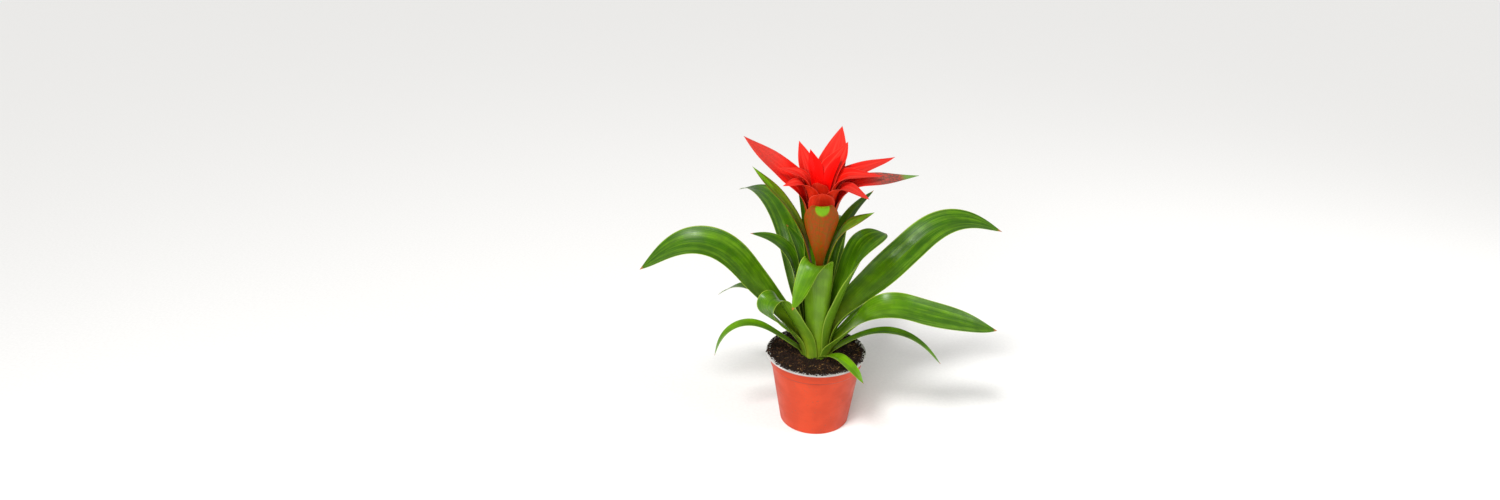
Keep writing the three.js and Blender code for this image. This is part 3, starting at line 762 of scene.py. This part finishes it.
def bark_bits(colours):
    """Shredded bark and wood fibre in the mix, broken dry. To the eye: matt slivers from dark
    brown to straw, streaked along the grain."""
    constants = {"IOR": 1.45, "Specular IOR Level": 0.3}
    material, tree, space = start_material("bark_bits", constants)
    streak = grains(tree, space, 0.6, 3.0)
    stops = (0.0, "#0e0603"), (0.4, "#27140a"), (0.75, colours.bark), (1.0, "#b48c58")
    colour = layered(
        tree, add(tree, "ValToRGB", {"stops": stops}, (mark(tree, "tone"),)),
        ("#2a170e", (streak, 0.4, 0.65, 0, 0.5)),
    )
    dress(tree, colour, [(streak, 0.3, 0.7, 0.7, 0.9)], streak, 0.15)
    return material


def matt_paper():
    """Seamless studio paper, pressed. To the eye: nearly white, without a shine."""
    constants = {"IOR": 1.45, "Specular IOR Level": 0.2, "Roughness": 0.9}
    material, tree, space = start_material("matt_paper", constants)
    grain = grains(tree, space, 4.0, 2.0)
    colour = layered(tree, "#f4f3f1", ("#f0efed", (grain, 0.3, 0.7)))
    tree.links.new(colour, tree.nodes["Principled BSDF"].inputs["Base Color"])
    return material


# ---- the pot --------------------------------------------------------------------------------


def drained_ring(height, inner, outer, arc_steps, radial_steps, rings):
    """A flat ring with a round hole in each of its equal sectors. In one sector, the points run
    round the sector's border; each has a mate on the hole's edge in the same direction from the
    hole's centre, and rings of points lie evenly between the two."""
    half = math.pi / DRAIN_HOLES
    arc = np.linspace(-half, half, arc_steps, endpoint=False)
    rise = np.linspace(inner, outer, radial_steps, endpoint=False)
    back = rise[::-1] + (outer - inner) / radial_steps
    radius = np.concatenate([np.full(arc_steps, inner), rise, np.full(arc_steps, outer), back])
    angle = np.concatenate([arc, np.full(radial_steps, half), -arc, np.full(radial_steps, -half)])
    border = np.stack([radius * np.cos(angle), radius * np.sin(angle)], -1)
    away = border - (DRAIN_CIRCLE, 0)
    hole = away / np.linalg.norm(away, axis=1)[:, None] * DRAIN_RADIUS + (DRAIN_CIRCLE, 0)
    share = np.linspace(0, 1, rings + 1)[:, None, None]
    flat = mix(hole, border, share)
    turn = (np.arange(DRAIN_HOLES) + 0.5) * 2 * half
    x = flat[..., 0] * np.cos(turn)[:, None, None] - flat[..., 1] * np.sin(turn)[:, None, None]
    y = flat[..., 0] * np.sin(turn)[:, None, None] + flat[..., 1] * np.cos(turn)[:, None, None]
    points = np.stack([x, y, np.full_like(x, height)], -1)
    faces = grid_faces(rings + 1, len(border), wrap=True)
    return points, copied(faces, DRAIN_HOLES, (rings + 1) * len(border))


def pot_surface():
    """The pot's closed skin: two profiles carried round Z, with a ring of drain holes between
    them under and over the base, and a short wall in each hole."""
    sides = DRAIN_HOLES * ARC_STEPS
    ring_in = PAD_RADIUS + FOOT_LIFT + RING_GAP
    ring_out = BASE_RADIUS - FOOT_WIDTH - FOOT_LIFT - RING_GAP
    mouth = COLLAR_TOP_RADIUS - POT_WALL
    shell = rounded([
        (ring_out, FOOT_LIFT),
        (BASE_RADIUS - FOOT_WIDTH - FOOT_LIFT, FOOT_LIFT),
        (BASE_RADIUS - FOOT_WIDTH, 0),
        (BASE_RADIUS, 0),
        (BODY_TOP_RADIUS, COLLAR_BOTTOM - BODY_STEP),
        (COLLAR_BOTTOM_RADIUS, COLLAR_BOTTOM),
        (COLLAR_TOP_RADIUS, COLLAR_TOP),
        (RIM_RADIUS, COLLAR_TOP),
        (RIM_RADIUS, RIM_TOP),
        (mouth, RIM_TOP),
        (mouth, COLLAR_TOP),
        (COLLAR_BOTTOM_RADIUS - POT_WALL, COLLAR_BOTTOM),
        (BODY_TOP_RADIUS - POT_WALL, COLLAR_BOTTOM - BODY_STEP),
        (BASE_RADIUS - POT_WALL, FLOOR_TOP),
        (ring_out, FLOOR_TOP),
    ], EDGE_ROUND)
    middle = rounded([
        (ring_in, FLOOR_TOP),
        (PAD_RADIUS + FOOT_LIFT, FLOOR_TOP),
        (0, FLOOR_TOP),
    ], BASE_ROUND)
    pad = rounded([
        (0, 0),
        (PAD_RADIUS, 0),
        (PAD_RADIUS + FOOT_LIFT, FOOT_LIFT),
        (ring_in, FOOT_LIFT),
    ], BASE_ROUND)
    low, high = (
        drained_ring(height, ring_in, ring_out, ARC_STEPS, 10, 3)
        for height in (FOOT_LIFT, FLOOR_TOP)
    )
    walls = np.stack([low[0][:, 0], high[0][:, 0]], axis=1)
    edge = walls.shape[2]
    skins = [
        *((turned(line, sides), grid_faces(len(line), sides, wrap=True))
          for line in (shell, middle, pad)),
        low, high, (walls, copied(grid_faces(2, edge, wrap=True), DRAIN_HOLES, 2 * edge)),
    ]
    parts, faces, count = [], [], 0
    for grid, quads in skins:
        parts.append(grid.reshape(-1, 3))
        faces.append(quads + count)
        count += len(parts[-1])
    points = np.concatenate(parts)
    radius = np.hypot(points[:, 0], points[:, 1])
    height = points[:, 2]
    on_lip = smooth(height - COLLAR_TOP, *LIP_GREY)
    outside = np.interp(height, [FLOOR_TOP, COLLAR_BOTTOM, COLLAR_TOP],
                        [BASE_RADIUS, BODY_TOP_RADIUS, COLLAR_TOP_RADIUS])
    within = (radius < outside - SKIN_DEPTH) & (height > FLOOR_TOP - FLOOR_SLACK)
    inner = np.maximum(on_lip, within)
    return points, np.concatenate(faces), inner


# ---- the soil -------------------------------------------------------------------------------


def soil_height(x, y):
    """The soil's top: a low mound from the wall up to the plant, broken by noise of four grain
    sizes, each finer one lower."""
    mound = np.interp(np.hypot(x, y), MOUND_RADII, MOUND_HEIGHTS)
    flat = np.stack([x, y, np.zeros_like(x)], -1).reshape(-1, 3)
    rough = sum(high * lattice_noise(flat, size, seed) for size, high, seed in SOIL_NOISE)
    return mound + rough.reshape(x.shape)


def soil_surface():
    """The soil's closed skin: a wall and a floor inside the pot, and a rough top out of polar
    rings that close up on the stem's hole."""
    sides = 260
    wall = COLLAR_TOP_RADIUS - POT_WALL - CLEARANCE
    rings = np.concatenate([np.linspace(wall, 18, 62), np.linspace(17, STEM_RADIUS + 0.6, 7)])
    angle = np.arange(sides) * 2 * math.pi / sides
    x, y = rings[:, None] * np.cos(angle), rings[:, None] * np.sin(angle)
    top = np.stack([x, y, soil_height(x, y)], -1)
    gap = POT_WALL + CLEARANCE
    below = turned([
        (0, FLOOR_TOP + CLEARANCE),
        (BASE_RADIUS - gap, FLOOR_TOP + CLEARANCE),
        (BODY_TOP_RADIUS - gap, COLLAR_BOTTOM - BODY_STEP),
        (COLLAR_BOTTOM_RADIUS - gap, COLLAR_BOTTOM + CLEARANCE),
        (wall, SOIL_EDGE - 1.5),
    ], sides)
    hole = turned([(STEM_RADIUS + CLEARANCE, STEM_LOW[2]), (0, STEM_LOW[2] - CLEARANCE)], sides)
    points = np.concatenate([below, top, hole])
    return points.reshape(-1, 3), grid_faces(len(points), sides, wrap=True)


def strewn(dice, count, inner, room, lift):
    """Centres strewn evenly over a ring of the soil, lift millimetres above it."""
    radius = np.sqrt(dice.uniform(inner ** 2, (SOIL_HIGH[0] - room) ** 2, count))
    centres = polar(radius, dice.uniform(0, 2 * math.pi, count), lift)
    centres[:, 2] += soil_height(centres[:, 0], centres[:, 1])
    return centres


def spilled(dice, count):
    """Centres of crumbs pushed up over the inner edge of the rim, thinning outward."""
    edge = COLLAR_TOP_RADIUS - POT_WALL - SPILT_FROM
    radius = edge + SPILT_REACH * dice.beta(*SPILT_THINS, count)
    angle = dice.uniform(0, 2 * math.pi, count)
    return polar(radius, angle, RIM_TOP - SPILT_SINK + dice.uniform(0, SPILT_PILE, count))


def crumb_surfaces(dice, count):
    """Crumbs: twenty-faced lumps, each with its corners pushed in or out by chance."""
    golden = (1 + math.sqrt(5)) / 2
    shape = np.array([
        (-1, golden, 0), (1, golden, 0), (-1, -golden, 0), (1, -golden, 0),
        (0, -1, golden), (0, 1, golden), (0, -1, -golden), (0, 1, -golden),
        (golden, 0, -1), (golden, 0, 1), (-golden, 0, -1), (-golden, 0, 1),
    ]) / math.hypot(1, golden)
    faces = np.array([
        (0, 11, 5), (0, 5, 1), (0, 1, 7), (0, 7, 10), (0, 10, 11),
        (1, 5, 9), (5, 11, 4), (11, 10, 2), (10, 7, 6), (7, 1, 8),
        (3, 9, 4), (3, 4, 2), (3, 2, 6), (3, 6, 8), (3, 8, 9),
        (4, 9, 5), (2, 4, 11), (6, 2, 10), (8, 6, 7), (9, 8, 1),
    ])
    centres = np.concatenate([strewn(dice, count, *CRUMBS), spilled(dice, SPILT_CRUMBS)])
    count = len(centres)
    lumps = shape * dice.uniform(0.7, 1.25, (count, 12, 1))
    size = dice.gamma(*CRUMB_LAW, count)[:, None].clip(*CRUMB_LIMITS)
    stretch = size * dice.uniform(0.7, 1.2, (count, 3))
    points, all_faces = scattered(lumps, faces, centres, tumbled(dice, count, CRUMB_TILT), stretch)
    return points, all_faces, np.repeat(dice.uniform(0, 0.55, count) ** 1.3, 12)


def chip_surfaces(dice, count):
    """Chips: six-sided slivers with a bowed back, lying nearly flat."""
    angle = np.arange(6) * math.pi / 3
    rim = np.stack([np.cos(angle), 0.42 * np.sin(angle), 0.10 * np.cos(2 * angle)], -1)
    shape = np.concatenate([rim + (0, 0, 0.1), rim * (0.85, 0.8, 1) - (0, 0, 0.1),
                            [(0, 0, 0.06)], [(0, 0, -0.2)]])
    k = np.arange(6)
    after = (k + 1) % 6
    corners = (
        (k, k + 6, after + 6), (k, after + 6, after),
        (k, after, k * 0 + 12), (after + 6, k + 6, k * 0 + 13),
    )
    faces = np.concatenate([np.stack(three, -1) for three in corners])
    centres = strewn(dice, count, *CHIPS)
    length = dice.gamma(*CHIP_LAW, count)[:, None].clip(*CHIP_LIMITS)
    size = length * np.stack([np.ones(count), dice.uniform(0.4, 1.1, count),
                              dice.uniform(0.5, 1.0, count)], -1)
    points, all_faces = scattered(shape, faces, centres, tumbled(dice, count, CHIP_TILT), size)
    return points, all_faces, np.repeat(dice.beta(2.2, 1.6, count), 14)


def fibre_surfaces(dice, count):
    """Fibres: three-sided strands along a bowed line, thin at both ends."""
    share = np.linspace(-1, 1, 6)
    thick = FIBRE_RADIUS * (1 - 0.75 * share ** 4)
    bow = dice.uniform(-0.35, 0.35, (count, 2))
    angle = np.arange(3) * 2 * math.pi / 3
    length = dice.uniform(*FIBRE_LENGTHS, count)
    line = np.stack([
        length[:, None] * share,
        length[:, None] * bow[:, :1] * share ** 2,
        length[:, None] * np.abs(bow[:, 1:]) * (1 - share ** 2) * 0.5,
    ], -1)
    round_ = np.stack([np.zeros(3), np.cos(angle), np.sin(angle)], -1)
    shape = (line[:, :, None] + thick[:, None, None] * round_).reshape(count, -1, 3)
    skin = grid_faces(6, 3, wrap=True)
    skin = np.concatenate([skin[:, [0, 1, 2]], skin[:, [0, 2, 3]]])
    faces = np.concatenate([skin, [(0, 2, 1)], [(15, 16, 17)]])
    centres = strewn(dice, count, *FIBRES)
    turns = tumbled(dice, count, FIBRE_TILT)
    points, all_faces = scattered(shape, faces, centres, turns, np.ones((count, 3)))
    return points, all_faces, np.repeat(dice.uniform(0.4, 1.0, count), shape.shape[1])


# ---- settings -------------------------------------------------------------------------------


LENGTH = {"precision": 5, "unit": "LENGTH"}


def number(kind, name, description, default, least, most, **more):
    """A number that a user may pick between two limits."""
    return kind(name=name, description=description, default=default, min=least, max=most, **more)


class BromeliadSizes(bpy.types.PropertyGroup):
    """Sizes of the visible surfaces that can change without the solids."""

    leaf_wall: number(FloatProperty, "Leaf thickness", "Thickness of a leaf at its midrib",
                      LEAF_WALL * MM, 0.0004, 0.0012, **LENGTH)
    bract_wall: number(FloatProperty, "Bract thickness", "Thickness of a bract at its midrib",
                       BRACT_WALL * MM, 0.0003, 0.001, **LENGTH)
    leaf_stations: number(IntProperty, "Leaf stations", "Rings of points along each leaf",
                          110, 20, 300)
    bract_stations: number(IntProperty, "Bract stations", "Rings of points along each bract",
                           72, 20, 200)
    crumbs: number(IntProperty, "Crumbs", "Loose crumbs of peat on the soil", 2600, 0, 6000)
    chips: number(IntProperty, "Chips", "Bark chips on the soil", 620, 0, 3000)
    fibres: number(IntProperty, "Fibres", "Wood fibres on the soil", 300, 0, 2000)


def colour_property(name, description, hex_colour):
    """A colour that a user may pick, stored linear and given here as sRGB."""
    return FloatVectorProperty(
        name=name, description=description, subtype="COLOR", size=4, min=0, max=1,
        default=linear(hex_colour),
    )


class BromeliadColours(bpy.types.PropertyGroup):
    """Main colour of each finish."""

    leaf: colour_property("Leaf", "Middle of a grown leaf", "#396602")
    bract: colour_property("Bract", "Middle of a flower bract", "#da1206")
    heart: colour_property("Heart", "Bracts at the flower's centre", "#e40301")
    scape_tip: colour_property("Scape tip", "Tip of a stalk bract", "#6ea512")
    pot: colour_property("Pot", "Outer skin of the pot", "#c23a0e")
    peat: colour_property("Peat", "Moist potting mix", "#130904")
    bark: colour_property("Bark", "Bark chips in the mix", "#6c4424")


# ---- operators ------------------------------------------------------------------------------


class BROMELIAD_OT_make_pot(bpy.types.Operator):
    """Makes the nursery pot with its lip, collar, foot and drain holes"""

    bl_idname = "bromeliad.make_pot"
    bl_label = "Pot"

    def execute(self, context):
        material = two_tone_polypropylene(context.scene.bromeliad_colours)
        points, faces, inner = pot_surface()
        marks = {"inner": inner}
        pot = make_piece("nursery_pot", points, faces, material, marks=marks, merge=True)
        place_piece(pot, "pot_plastic", "pot")
        return {"FINISHED"}


class BROMELIAD_OT_make_soil(bpy.types.Operator):
    """Makes the soil with its crumbs, bark chips and fibres"""

    bl_idname = "bromeliad.make_soil"
    bl_label = "Soil"

    def execute(self, context):
        sizes, colours = context.scene.bromeliad_sizes, context.scene.bromeliad_colours
        peat, bark = moist_peat(colours), bark_bits(colours)
        points, faces = soil_surface()
        soil = make_piece("peat_soil", points, faces, peat, merge=True)
        place_piece(soil, "soil", "potting_soil")
        dice = np.random.default_rng(20)
        loose = (
            ("soil_crumbs", crumb_surfaces, sizes.crumbs),
            ("bark_chips", chip_surfaces, sizes.chips),
            ("wood_fibres", fibre_surfaces, sizes.fibres),
        )
        for name, surfaces, count in loose:
            points, faces, tone = surfaces(dice, count)
            piece = make_piece(name, points, faces, bark, marks={"tone": tone})
            place_piece(piece, "soil")
        return {"FINISHED"}


class BROMELIAD_OT_make_stem(bpy.types.Operator):
    """Makes the flower stalk"""

    bl_idname = "bromeliad.make_stem"
    bl_label = "Flower stalk"

    def execute(self, context):
        heights = np.linspace(RIM_TOP + STEM_NARROWS[0], STEM_HIGH[2] - STEM_TIP_RADIUS, 40)
        dome = np.linspace(0, math.pi / 2, 6)[1:]
        profile = [(0, STEM_LOW[2]), (STEM_RADIUS, STEM_LOW[2])]
        profile += list(zip(stem_radius_at(heights), heights))
        profile += list(zip(STEM_TIP_RADIUS * np.cos(dome),
                            heights[-1] + STEM_TIP_RADIUS * np.sin(dome)))
        sides = 28
        points = turned(profile, sides).reshape(-1, 3)
        faces = grid_faces(len(profile), sides, wrap=True)
        material = fleshy_stem()
        stalk = make_piece("flower_stalk", points, faces, material, merge=True)
        place_piece(stalk, "stem", "flower_stem")
        return {"FINISHED"}


class BROMELIAD_OT_make_leaves(bpy.types.Operator):
    """Makes the rosette of leaves"""

    bl_idname = "bromeliad.make_leaves"
    bl_label = "Leaves"

    def execute(self, context):
        sizes = context.scene.bromeliad_sizes
        material = waxy_leaf(context.scene.bromeliad_colours)
        for seed, name in enumerate(LEAVES):
            leaf = leaf_named(name)
            surface = blade_surface(leaf, tier_radius(leaf["tier"]), LEAF_FOOT,
                                    sizes.leaf_wall / MM, sizes.leaf_stations, 24, seed)
            points, faces, uv, marks = surface
            piece = make_piece("waxy_" + name, points, faces, material, uv, marks)
            place_piece(piece, "leaf", name)
        return {"FINISHED"}


def make_bracts(context, table, kind, material, slot):
    """Makes every bract of one kind, each where its solid grows from the stalk."""
    sizes = context.scene.bromeliad_sizes
    for seed, name in enumerate(table):
        bract = bract_named(table, kind, name)
        foot = RIM_TOP + bract["foot"] + bract["ring"] * bract["step"]
        radius = stem_radius_at(foot) + CLEARANCE + BRACT_WALL
        surface = blade_surface(bract, radius, foot, sizes.bract_wall / MM, sizes.bract_stations,
                                20, 100 + seed)
        points, faces, uv, marks = surface
        piece = make_piece("grown_" + name, points, faces, material, uv, marks)
        place_piece(piece, slot, name)


class BROMELIAD_OT_make_scape_bracts(bpy.types.Operator):
    """Makes the green and brown bracts that sheathe the stalk"""

    bl_idname = "bromeliad.make_scape_bracts"
    bl_label = "Stalk bracts"

    def execute(self, context):
        material = scape_bract(context.scene.bromeliad_colours)
        make_bracts(context, SCAPE_BRACTS, SCAPE, material, "scape_bract")
        return {"FINISHED"}


class BROMELIAD_OT_make_petals(bpy.types.Operator):
    """Makes the red bracts of the flower's star"""

    bl_idname = "bromeliad.make_petals"
    bl_label = "Red bracts"

    def execute(self, context):
        material = red_bract(context.scene.bromeliad_colours)
        make_bracts(context, PETALS, PETAL, material, "red_bract")
        return {"FINISHED"}


class BROMELIAD_OT_make_heart(bpy.types.Operator):
    """Makes the upright bracts at the flower's centre"""

    bl_idname = "bromeliad.make_heart"
    bl_label = "Heart bracts"

    def execute(self, context):
        material = heart_bract(context.scene.bromeliad_colours)
        make_bracts(context, HEART_BRACTS, HEART, material, "red_bract")
        return {"FINISHED"}


# Name, kind, place, aim, size (metres, or radians for a sun) and power of each lamp.
LAMPS = (
    ("sun_light", "SUN", (-0.75, -0.9, 1.9), (0, 0, 0.1), math.radians(16), 2.2),
    ("front_light", "AREA", (-0.5, -1.3, 0.75), (0, 0.05, 0.2), 0.7, 14),
    ("right_light", "AREA", (1.2, -0.3, 0.9), (0, 0.05, 0.2), 0.6, 6),
)
SKY_STRENGTH = 0.36
FLOOR_HALF = 9000.0
LENS, SENSOR = 19.2, 36.0
CLIP = (0.05, 60.0)
CAMERA_PLACE = (-0.0798, -0.8463, 0.5751)
CAMERA_DOWN = 22.6        # degrees below the horizon, looking along +Y


class BROMELIAD_OT_make_stage(bpy.types.Operator):
    """Makes the floor, the lights and the camera"""

    bl_idname = "bromeliad.make_stage"
    bl_label = "Stage"

    def execute(self, context):
        scene = context.scene
        corners = [(-1, -1, 0), (1, -1, 0), (1, 1, 0), (-1, 1, 0)]
        points = np.array(corners) * FLOOR_HALF
        make_piece("floor", points, [(0, 1, 2, 3)], matt_paper())

        world = bpy.data.worlds.new("studio_sky")
        world.use_nodes = True
        sky = world.node_tree.nodes["Background"]
        sky.inputs["Color"].default_value = linear("#ffffff")
        sky.inputs["Strength"].default_value = SKY_STRENGTH
        scene.world = world

        for name, kind, place, aim, size, power in LAMPS:
            data = bpy.data.lights.new(name, kind)
            data.energy = power
            setattr(data, "angle" if kind == "SUN" else "size", size)
            lamp = bpy.data.objects.new(name, data)
            lamp.location = place
            away = lamp.location - type(lamp.location)(aim)
            lamp.rotation_euler = away.to_track_quat("Z", "Y").to_euler()
            scene.collection.objects.link(lamp)

        lens = bpy.data.cameras.new("photo_camera")
        lens.lens, lens.sensor_width = LENS, SENSOR
        lens.clip_start, lens.clip_end = CLIP
        camera = bpy.data.objects.new("photo_camera", lens)
        camera.location = CAMERA_PLACE
        camera.rotation_euler = (math.radians(90 - CAMERA_DOWN), 0, 0)
        scene.collection.objects.link(camera)
        scene.camera = camera
        scene.view_settings.view_transform = "Standard"
        return {"FINISHED"}


OPERATORS = (
    BROMELIAD_OT_make_pot,
    BROMELIAD_OT_make_soil,
    BROMELIAD_OT_make_stem,
    BROMELIAD_OT_make_leaves,
    BROMELIAD_OT_make_scape_bracts,
    BROMELIAD_OT_make_petals,
    BROMELIAD_OT_make_heart,
    BROMELIAD_OT_make_stage,
)


class BROMELIAD_PT_panel(bpy.types.Panel):
    """Lists the sizes, the colours and the pieces"""

    bl_idname = "BROMELIAD_PT_panel"
    bl_label = "Potted bromeliad"
    bl_space_type = "VIEW_3D"
    bl_region_type = "UI"
    bl_category = "Bromeliad"

    def draw(self, context):
        for group in (context.scene.bromeliad_sizes, context.scene.bromeliad_colours):
            box = self.layout.box()
            for name in group.__annotations__:
                box.prop(group, name)
        for operator in OPERATORS:
            self.layout.operator(operator.bl_idname)


CLASSES = (BromeliadSizes, BromeliadColours, *OPERATORS, BROMELIAD_PT_panel)


def register():
    for cls in CLASSES:
        bpy.utils.register_class(cls)
    bpy.types.Scene.bromeliad_sizes = PointerProperty(type=BromeliadSizes)
    bpy.types.Scene.bromeliad_colours = PointerProperty(type=BromeliadColours)


def unregister():
    del bpy.types.Scene.bromeliad_colours
    del bpy.types.Scene.bromeliad_sizes
    for cls in reversed(CLASSES):
        bpy.utils.unregister_class(cls)


def main():
    register()
    for operator in OPERATORS:
        group, call = operator.bl_idname.split(".")
        getattr(getattr(bpy.ops, group), call)()


if __name__ == "__main__":
    main()
